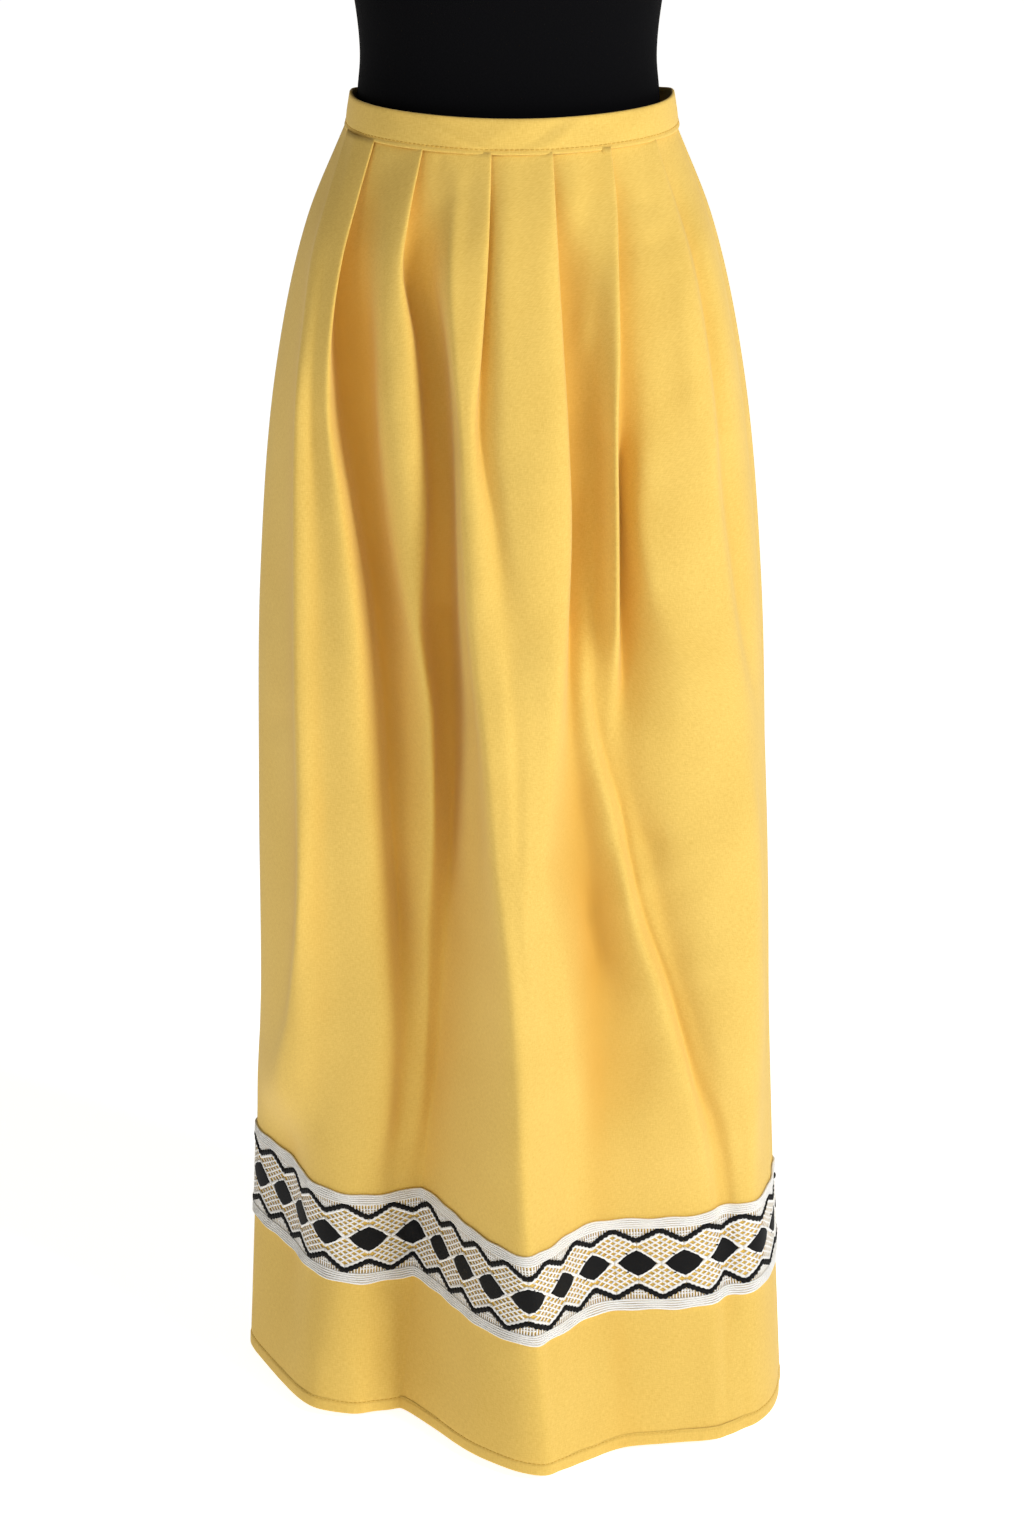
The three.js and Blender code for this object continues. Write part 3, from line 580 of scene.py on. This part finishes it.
def round_faces(index):
    """Quads round closed rings of point numbers [..., ring, side], and a cap at each end."""
    around = np.roll(index, -1, axis=-1)
    quads = np.stack(
        [index[..., :-1, :], around[..., :-1, :], around[..., 1:, :], index[..., 1:, :]], axis=-1)
    caps = [index[..., 0, ::-1], index[..., -1, :]]
    return quads.reshape(-1, 4).tolist() + np.reshape(caps, (-1, index.shape[-1])).tolist()


def threads(paths, half_width, thickness, sides=6, lift=0.0):
    """Flattened cords along paths [thread, point, (u, v)]: an oval of the given half width and
    thickness, square to the path, with closed ends. Returns points [n, 3] and faces."""
    count, length = paths.shape[:2]
    course = np.gradient(paths, axis=1)
    course /= np.linalg.norm(course, axis=2, keepdims=True)
    side = np.stack([course[..., 1], -course[..., 0]], axis=2)
    turn = (np.arange(sides) + 0.5) * 2 * math.pi / sides
    half_width = np.broadcast_to(half_width, (count, length))
    spread = half_width[..., None] * np.cos(turn)
    place = paths[:, :, None] + side[:, :, None] * spread[..., None]
    height = np.broadcast_to(lift + thickness * (0.5 + 0.5 * np.sin(turn)), spread.shape)
    height = height * (half_width / half_width.max())[..., None] ** 0.5
    points = np.concatenate([place, height[..., None]], axis=3)
    index = np.arange(count * length * sides).reshape(count, length, sides)
    return points.reshape(-1, 3), round_faces(index)


def straight(starts, ends, points):
    """Paths [thread, point, (u, v)] of evenly spaced points from each start to its end."""
    t = np.linspace(0, 1, points)[None, :, None]
    return np.asarray(starts, float)[:, None] * (1 - t) + np.asarray(ends, float)[:, None] * t


DIAMOND = (13.9, 10.2)  # mm, half width and half height of a black diamond
INNER_RIB = 11.2  # mm from the middle line to the white rib at a diamond's tip
OUTER_RIB = (14.4, 23.6)  # mm to the white rib under the black cord, at a tip and at a crossing
CORD = (17.6, 26.8)  # mm to the black cord, at a tip and at a crossing
HEADING = (28.6, 35.6)  # mm to the first and last thread of the ribbed heading
NET_PITCH = 0.2  # share of an open diamond's side
POST_PITCH, ROW_PITCH = 2.2, 2.1  # mm, close net beside the heading
BEADS = 5  # of satin stitch on one side of the cord's zigzag
ROUNDNESS = 1.7  # power of a diamond's outline: 1 is straight-sided, 2 an oval


def white_repeat(pitch):
    """The white threads of one repeat, from one crossing to the next: a list of (points, faces)."""
    half = pitch / 2
    made = []
    for up in (1, -1):
        peak = [(0, 0), (half, up * INNER_RIB), (pitch, 0)]
        outer = [(0, up * OUTER_RIB[1]), (half, up * OUTER_RIB[0]), (pitch, up * OUTER_RIB[1])]
        for line, width in ((peak, 1.35), (outer, 1.4)):
            path = straight(line[:-1], line[1:], 8)
            wave = 1 + 0.08 * np.cos(np.arange(8) * 2.4)
            made.append(threads(path, width * wave, 1.3))
        # net in the open diamond over and under a crossing, half of it at each end of the repeat:
        # four threads each way, parallel to the diamond's sides
        low, middle, high = 1.2, INNER_RIB + 1.7, OUTER_RIB[1] - 1
        share = NET_PITCH * np.arange(1, 5)
        reach = half * (1 - share)
        for inner, outer_end in (
            (low + share * (high - low), middle + share * (high - middle)),
            (high - share * (high - low), middle - share * (middle - low)),
        ):
            for origin, side in ((0, 1), (pitch, -1)):
                starts = np.stack([np.full(len(share), float(origin)), up * inner], axis=1)
                ends = np.stack([origin + side * reach, up * outer_end], axis=1)
                made.append(threads(straight(starts, ends, 6), 0.72, 1.0, 6, 0.1))
        # close net between the black cord and the heading
        places = np.arange(POST_PITCH / 2, pitch, POST_PITCH)
        cord = np.interp(places, [0, half, pitch], [CORD[1], CORD[0], CORD[1]])
        tops = np.full(len(places), HEADING[0])
        posts = straight(np.stack([places, up * cord], 1), np.stack([places, up * tops], 1), 4)
        made.append(threads(posts, 0.72, 0.9, 4, 0.1))
        for level in np.arange(HEADING[0] - 2.3, CORD[0] + 1, -ROW_PITCH):
            extent = half * min(1, 1 - (level - CORD[0]) / (CORD[1] - CORD[0]))
            if extent > 1:
                row = straight([(half - extent, up * level)], [(half + extent, up * level)], 8)
                made.append(threads(row, 0.62, 0.9, 4, 0.05))
    return made


def black_repeat(pitch):
    """The black of one repeat: cord in beads of satin stitch, and the diamond as a crowned plate
    with a waved outline, |x/a|^n + |y/b|^n = 1."""
    half = pitch / 2
    made = []
    for up in (1, -1):
        line = [(0, up * CORD[1]), (half, up * CORD[0]), (pitch, up * CORD[1])]
        path = straight(line[:-1], line[1:], 25)
        bead = 1.35 + 1.15 * np.abs(np.sin(np.linspace(0, BEADS * math.pi, 25)))
        made.append(threads(path, bead, 1.9, 6, 0.1))
    turn = np.linspace(0, 2 * math.pi, 48, endpoint=False)
    across, along = np.abs(np.cos(turn) / DIAMOND[0]), np.abs(np.sin(turn) / DIAMOND[1])
    reach = (across**ROUNDNESS + along**ROUNDNESS) ** (-1 / ROUNDNESS) + 0.35 * np.cos(16 * turn)
    rings = []
    for share, height in ((0.92, 0.0), (1.0, 0.4), (0.96, 1.0), (0.8, 1.35), (0.5, 1.45), (0.2, 1.5)):
        ring = np.stack([half + share * reach * np.cos(turn), share * reach * np.sin(turn)], axis=1)
        rings.append(np.column_stack([ring, np.full(len(turn), height)]))
    points = np.concatenate(rings)
    made.append((points, round_faces(np.arange(len(points)).reshape(len(rings), -1))))
    return made


def heading_threads(start, end):
    """The ribbed heading: five threads side by side along each edge, waved every 31 mm, by nothing
    on the inner one and up to 0.5 mm on the outer one."""
    points = int((end - start) / 1.9)
    u = np.linspace(start, end, points)
    lines = []
    for up in (1, -1):
        for level in np.linspace(*HEADING, 5):
            bow = 0.5 * np.cos((u - start) * 2 * math.pi / 31) * (level - HEADING[0]) / 7
            lines.append(np.stack([u, up * (level + bow)], axis=1))
    return threads(np.array(lines), 0.74, 1.7)


def laid_piece(name, parts, material):
    """One mesh object from (points, faces) parts, laid on the cloth."""
    faces, points, start = [], [], 0
    for part_points, part_faces in parts:
        faces += [[start + corner for corner in face] for face in part_faces]
        points.append(part_points)
        start += len(part_points)
    return mesh_object(name, on_cloth(np.concatenate(points)), faces, material)


def thread_material(name, code, sheen):
    """Matt mercerised cotton thread: small twisted plies show as fine bumps 1 mm apart."""
    made, tree, shader = plain_material(name, Roughness=0.8, Specular_IOR_Level=0.25, Sheen_Weight=sheen)
    place = node(tree, "ShaderNodeTexCoord")
    plies = node(tree, "ShaderNodeTexNoise", {"Vector": place.outputs["Object"]}, Scale=900.0, Detail=2.0)
    base, dark = linear(code), [0.9 * c for c in linear(code)[:3]] + [1.0]
    tint = node(tree, "ShaderNodeMix", {"Factor": plies.outputs["Fac"]}, data_type="RGBA", A=dark, B=base)
    tree.links.new(tint.outputs["Result"], shader.inputs["Base Color"])
    bump = node(tree, "ShaderNodeBump", {"Height": plies.outputs["Fac"]}, Strength=0.5, Distance=0.0004)
    tree.links.new(bump.outputs["Normal"], shader.inputs["Normal"])
    return made


white_thread = thread_material("white cotton lace thread", "#fbfaf7", 0.1)
black_thread = thread_material("black cotton gimp thread", "#08080a", 0.0)


def repeated(parts, start, pitch, count):
    """Copies of one repeat's parts along the strip."""
    return [
        (points + np.array([start + pitch * place, 0, 0]), faces)
        for place in range(count)
        for points, faces in parts
    ]


front_end = LACE_START + FRONT_REPEATS * REPEAT
for name, start, end, count in (
    ("lace_front", LACE_START, front_end, FRONT_REPEATS),
    ("lace_back", front_end, LACE_START + whole_run, BACK_REPEATS),
):
    pitch = (end - start) / count
    white = repeated(white_repeat(pitch), start, pitch, count)
    white.append(heading_threads(start, end))
    black = repeated(black_repeat(pitch), start, pitch, count)
    strip_piece = laid_piece(f"{name}_white", white, white_thread)
    black_piece = laid_piece(f"{name}_black", black, black_thread)
    for piece in (strip_piece, black_piece):
        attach(piece, "root")
        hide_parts(name)


# ---- Stitches -------------------------------------------------------------------------------------
# Yellow sewing thread in a plain lockstitch: 2.5 mm stitches with small gaps, sunk in the cloth.
yellow_thread = thread_material("yellow sewing thread", "#d9ae4c", 0.0)
STITCH = (3.4, 2.5)  # mm from stitch to stitch, and length of one


def stitch_line(name, route, material):
    """Dashes along a closed or open route [point, xyz] in metres: each is a six-sided bar whose
    middle stands 0.25 mm off the route's outward side."""
    reach = np.concatenate([[0], np.cumsum(np.linalg.norm(np.diff(route, axis=0), axis=1))])
    starts = np.arange(1, reach[-1] / MM - STITCH[0], STITCH[0]) * MM
    at = starts[:, None] + np.array([0, 0.2, 0.5, 0.8, 1.0]) * STITCH[1] * MM
    points = np.stack([np.interp(at, reach, route[:, axis]) for axis in range(3)], axis=-1)
    course = points[:, -1] - points[:, 0]
    course /= np.linalg.norm(course, axis=1, keepdims=True)
    out = np.stack([course[:, 1], -course[:, 0], 0 * course[:, 0]], axis=1)
    out /= np.linalg.norm(out, axis=1, keepdims=True)
    up = np.cross(out, course)
    arch = np.array([-0.3, 0.12, 0.25, 0.12, -0.3]) * MM
    turn = np.arange(6) * math.pi / 3
    ring = 0.32 * MM * (np.cos(turn)[:, None, None] * out + np.sin(turn)[:, None, None] * up)
    points = points[:, :, None] + arch[None, :, None, None] * out[:, None, None]
    points = points + ring.transpose(1, 0, 2)[:, None]
    index = np.arange(points[..., 0].size).reshape(points.shape[:3])
    made = mesh_object(name, points, round_faces(index), material, smooth=False)
    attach(made, "root")
    return made


hem_row = int(np.argmin(np.abs(cloth_drops - HEM_STITCH)))
stitch_line("hem_stitches", outer[hem_row] + cloth_facing[hem_row] * 0.45 * MM, yellow_thread)


# ---- Waistband ------------------------------------------------------------------------------------
# A strip of the same cotton folded in half over the pleats' ends, stitched along its lower edge
# with a rolled edge under the stitches, its ends lapped at the centre of the back.
BAND_TOP, BAND_FOOT = np.array([109.5, 86.5]), np.array([113.0, 90.0])  # mm, half width, half depth
BAND_LAP, BAND_THICKNESS, GAP = 26, 2.6, 0.3  # mm
CLIMB = 0.4  # radians over which the upper end rises over the lower one
# Section of the band: (drop below its top, distance out from its middle surface) in mm, down the
# outside with its stitch groove and rolled edge, then up the inside.
BAND_SECTION = np.array([
    (0.0, 0.1), (0.15, 0.75), (0.8, 1.25), (2.5, 1.35), (6, 1.4), (10, 1.5), (14, 1.5), (18, 1.35),
    (19.6, 1.3), (20.3, 1.0), (21.0, 1.25), (21.8, 1.65), (22.8, 1.8), (23.6, 1.5), (24.0, 0.7),
    (24.0, -0.4), (23.4, -1.0), (20, -1.25), (14, -1.3), (8, -1.3), (2, -1.25), (0.3, -0.8),
])
lap = BAND_LAP / BAND_FOOT[0]
band_turn = np.linspace(0, 2 * math.pi + lap, 421)  # about 1.6 mm apart
band_angle = (math.pi - lap) / 2 + band_turn
climb = np.clip((band_turn - (2 * math.pi - lap / 2 - CLIMB)) / CLIMB, 0, 1)
climb = climb * climb * (3 - 2 * climb) * (BAND_THICKNESS + 2 * GAP)


def on_band(drop, out):
    """Points in metres on the band's oval, out mm from its middle surface at a drop in mm, for
    each angle: the oval grows evenly from its top to its foot."""
    half = BAND_TOP + (BAND_FOOT - BAND_TOP) * (drop / BAND_HEIGHT)
    x = (half[0] + out) * np.cos(band_angle)
    y = (half[1] + out) * np.sin(band_angle)
    return np.stack([x * MM, y * MM + WAIST_Y, WAIST_Z - (drop + dip(y, BAND_HEIGHT)) * MM], axis=1)


# Soft wrinkles in front, leaning across the strip: (mm of x where one is 10 mm down, mm of x that it
# leans per mm of drop, width in mm, height as a share of WRINKLE_SLACK). They are strongest halfway
# down to WRINKLE_FOOT.
WRINKLES = [
    (-66, 1.8, 9, -0.35), (-44, 2.2, 8, 0.4), (-30, 2.0, 7, -0.35), (-8, -1.2, 10, 0.25),
    (22, -1.6, 8, -0.4), (34, -1.2, 7, 0.35), (60, 1.4, 10, -0.3), (84, -1.0, 9, 0.25),
]
WRINKLE_FOOT, WRINKLE_SLACK = 21, 3.5  # mm below the band's top, mm
HALF_WIDTH = 112  # mm, the band's where the wrinkles are placed
x_here = HALF_WIDTH * np.cos(band_angle)
in_front = np.sin(band_angle) < 0
band_rows = []
for drop, out in BAND_SECTION:
    ripple = 0.0
    if out > 0:
        slack = WRINKLE_SLACK * math.sin(math.pi * min(drop, WRINKLE_FOOT) / WRINKLE_FOOT)
        ripple = slack * in_front * sum(
            height * np.exp(-(((x_here - middle - lean * (drop - 10)) / width) ** 2))
            for middle, lean, width, height in WRINKLES)
    band_rows.append(on_band(drop, out + climb + ripple))
band_grid = np.array(band_rows)
index = np.arange(band_grid[..., 0].size).reshape(band_grid.shape[:2])
below_row = np.roll(index, -1, axis=0)
quads = np.stack([index[:, :-1], below_row[:, :-1], below_row[:, 1:], index[:, 1:]], axis=-1)
ends = [index[:, 0].tolist(), index[::-1, -1].tolist()]
waistband = mesh_object("waistband_cloth", band_grid, quads.reshape(-1, 4).tolist() + ends, cotton)
reach = np.concatenate([[0], np.cumsum(np.linalg.norm(np.diff(BAND_SECTION, axis=0), axis=1))]) * MM
CLOTH_PER_RADIAN = 0.1
band_uv = np.stack([
    np.broadcast_to(band_turn * CLOTH_PER_RADIAN, index.shape),
    np.broadcast_to(-reach[:, None], index.shape),
], axis=-1)
layer = waistband.data.uv_layers.new(name="cut")
corners = np.concatenate([quads.ravel(), *ends])
layer.data.foreach_set("uv", band_uv.reshape(-1, 2)[corners].ravel())
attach(waistband, "root")
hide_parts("waistband")
band_stitches = stitch_line("waistband_stitches", on_band(20.3, 1.1 + climb), yellow_thread)


# ---- Button ---------------------------------------------------------------------------------------
# A shirt-weight button of yellow casein on the lap, dished inside a rounded rim.
def turned(name, profile, sides, material, place=(0, 0, 0), axis="z"):
    """A turned piece: (radius, height) points in mm, ending on the axis, carried round it."""
    turn = np.linspace(0, 2 * math.pi, sides, endpoint=False)
    rings = [(r, z) for r, z in profile if r > 0]
    points = np.array([[(r * math.cos(t), r * math.sin(t), z) for t in turn] for r, z in rings])
    points = points.reshape(-1, 3)
    ends = np.array([(0, 0, profile[0][1]), (0, 0, profile[-1][1])])
    index = np.arange(len(points)).reshape(len(rings), sides)
    around = np.roll(index, -1, axis=1)
    first, last = len(points), len(points) + 1
    faces = round_faces(index)[:-2]  # fans to the axis close the ends instead of caps
    faces += [[first, int(b), int(a)] for a, b in zip(index[0], around[0])]
    faces += [[last, int(a), int(b)] for a, b in zip(index[-1], around[-1])]
    points = np.concatenate([points, ends])
    if axis == "y":  # the height runs along +Y
        points = points[:, [0, 2, 1]] * [-1, 1, 1]
    made = mesh_object(name, points * MM + np.array(place), faces, material)
    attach(made, "root")
    return made


# Casein is clouded in the mass about every 4 mm, and polished.
casein, tree, shader = plain_material("polished yellow casein", Roughness=0.3, IOR=1.54)
place = node(tree, "ShaderNodeTexCoord")
cloud = node(tree, "ShaderNodeTexNoise", {"Vector": place.outputs["Object"]}, Scale=260.0, Detail=3.0)
tint = node(
    tree, "ShaderNodeMix", {"Factor": cloud.outputs["Fac"]}, data_type="RGBA",
    A=linear("#d8ab4a"), B=linear("#efd07c"))
tree.links.new(tint.outputs["Result"], shader.inputs["Base Color"])
low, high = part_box("band_button")
button_middle = [(a + b) / 2 for a, b in zip(low, high)]
button = turned("waist_button", [
    (0, 0.2), (5.5, 0.2), (6.9, 0.6), (7.4, 1.3), (7.4, 1.9), (7.0, 2.6), (6.2, 2.9), (5.3, 2.7),
    (4.6, 2.1), (3.0, 1.9), (1.5, 1.85), (0, 1.85),
], 48, casein, (button_middle[0], low[1], button_middle[2]), "y")
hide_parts("band_button")


# ---- Dress form -----------------------------------------------------------------------------------
# A limbless papier-mache body under a close black cotton jersey cover, seamed at the sides and the
# centre back. Sections as (height above the band's top, half width, depth in front, depth behind,
# squareness) in mm.
TORSO = np.array([
    (-300, 112, 66, 92, 2.2), (-250, 118, 70, 100, 2.2), (-190, 122, 76, 102, 2.1),
    (-130, 120, 80, 93, 2.1), (-70, 110, 80, 79, 2.1), (-24, 104, 80, 74, 2.1), (0, 103, 79, 74, 2.1),
    (25, 101, 76, 74, 2.1), (75, 106, 82, 78, 2.1), (130, 118, 97, 85, 2.2),
    (185, 129, 106, 91, 2.3), (240, 137, 97, 92, 2.4), (295, 150, 79, 86, 2.5),
    (340, 157, 63, 74, 2.5), (368, 132, 54, 65, 2.3), (388, 88, 50, 58, 2.1), (404, 60, 49, 54, 2),
    (428, 52, 48, 52, 2), (446, 51, 48, 52, 2),
], float)
TORSO_MIDDLE = (-2.5, 2)  # mm from the middle of the waist


def torso_surface(levels, sides):
    """Rings of the body [level, side, xyz] in metres: |x/a|^n + |y/b|^n = 1 with the sizes eased
    between the sections, and shallow grooves 0.5 mm deep at the seams."""
    sizes = eased(TORSO[:, 0], TORSO[:, 1:], levels)
    turn = np.linspace(0, 2 * math.pi, sides, endpoint=False)
    power = 2 / sizes[:, 3:4]
    across = np.sign(np.cos(turn)) * np.abs(np.cos(turn)) ** power
    along = np.sign(np.sin(turn)) * np.abs(np.sin(turn)) ** power
    depth = np.where(along < 0, sizes[:, 1:2], sizes[:, 2:3])
    seams = np.array([0, math.pi / 2, math.pi, 2 * math.pi])
    gaps = np.abs((turn[:, None] - seams + math.pi) % (2 * math.pi) - math.pi)
    groove = 0.5 * np.exp(-((gaps.min(axis=1) / 0.012) ** 2))
    x = TORSO_MIDDLE[0] + (sizes[:, :1] - groove) * across
    y = TORSO_MIDDLE[1] + (depth - groove) * along
    z = np.broadcast_to(levels[:, None], x.shape)
    return np.stack([x * MM, y * MM + WAIST_Y, z * MM + WAIST_Z], axis=-1)


# Fine jersey, black and quite matt: its wales show as bumps 0.9 mm apart, longer upright than across.
jersey, tree, shader = plain_material(
    "black cotton jersey", Base_Color=linear("#08080a"), Roughness=0.95, Specular_IOR_Level=0.06)
place = node(tree, "ShaderNodeTexCoord")
wales = node(tree, "ShaderNodeMapping", {"Vector": place.outputs["Object"]}, Scale=(1, 1, 0.4))
knit = node(tree, "ShaderNodeTexNoise", {"Vector": wales.outputs["Vector"]}, Scale=1100.0, Detail=1.0)
bump = node(tree, "ShaderNodeBump", {"Height": knit.outputs["Fac"]}, Strength=0.4, Distance=0.0004)
tree.links.new(bump.outputs["Normal"], shader.inputs["Normal"])

SIDES = 240
levels = np.concatenate([[-300, -299.4, -298], np.linspace(-295, 440, 148), [443, 445, 446]])
body = torso_surface(levels, SIDES)
# Both ends' edges are rounded: each level is drawn in by about its inset, at a radius of 0.1 m.
inset = np.concatenate([[3.0, 1.2, 0.3], np.zeros(148), [0.4, 1.3, 3.0]]) * MM
body[..., :2] -= (body[..., :2] - body[..., :2].mean(axis=1, keepdims=True)) * (inset / 0.1)[:, None, None]
index = np.arange(len(levels) * SIDES).reshape(-1, SIDES)
torso = mesh_object("form_torso_cover", body, round_faces(index), jersey)
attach(torso, "root")
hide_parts("form_torso")


# ---- Stand ----------------------------------------------------------------------------------------
# Steel tube on a heavy cast base, in black stove enamel whose orange peel shows as soft dimples
# 2 mm apart, with a turned cap on the neck.
enamel, tree, shader = plain_material("black stove enamel")
place = node(tree, "ShaderNodeTexCoord")
peel = node(tree, "ShaderNodeTexNoise", {"Vector": place.outputs["Object"]}, Scale=420.0, Detail=2.0)
tint = node(
    tree, "ShaderNodeMix", {"Factor": peel.outputs["Fac"]}, data_type="RGBA",
    A=linear("#0d0d0e"), B=linear("#191a1b"))
tree.links.new(tint.outputs["Result"], shader.inputs["Base Color"])
gloss = node(tree, "ShaderNodeMapRange", {"Value": peel.outputs["Fac"]}, To_Min=0.28, To_Max=0.42)
tree.links.new(gloss.outputs["Result"], shader.inputs["Roughness"])
bump = node(tree, "ShaderNodeBump", {"Height": peel.outputs["Fac"]}, Strength=0.2, Distance=0.0003)
tree.links.new(bump.outputs["Normal"], shader.inputs["Normal"])
low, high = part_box("form_neck_cap")
cap = turned("neck_cap", [
    (0, 0), (49, 0), (50.4, 0.5), (51, 1.6), (50.7, 3.2), (49.6, 5.2), (47.5, 7.2), (44, 8.6), (38, 9.3),
    (24, 9.8), (9, 10.2), (6.8, 10.9), (6.1, 12.2), (6.3, 14.2), (8.2, 16.3), (10.2, 18.4), (11, 20.6),
    (10.7, 23.4), (9.3, 26.0), (6.6, 28.0), (3.2, 28.9), (0, 29),
], 96, enamel, ((low[0] + high[0]) / 2, (low[1] + high[1]) / 2, low[2]))
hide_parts("form_neck_cap")
low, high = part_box("stand_base")
base = turned("round_base", [
    (0, 0), (98.8, 0), (99.6, 0.3), (100, 1.2), (100, 3.6), (99.4, 4.8), (97.6, 5.6), (90, 6.8), (80, 8),
    (60, 9.8), (40, 11), (28, 11.7), (23.5, 12.3), (22, 13.6), (21, 17), (19.6, 21.6), (18.6, 23.2),
    (17, 24), (0, 24),
], 128, enamel, (0, 0, low[2]))
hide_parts("stand_base")
for name in ("stand_pole", "stand_flange"):
    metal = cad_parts[name]
    metal.data.materials.clear()
    metal.data.materials.append(enamel)
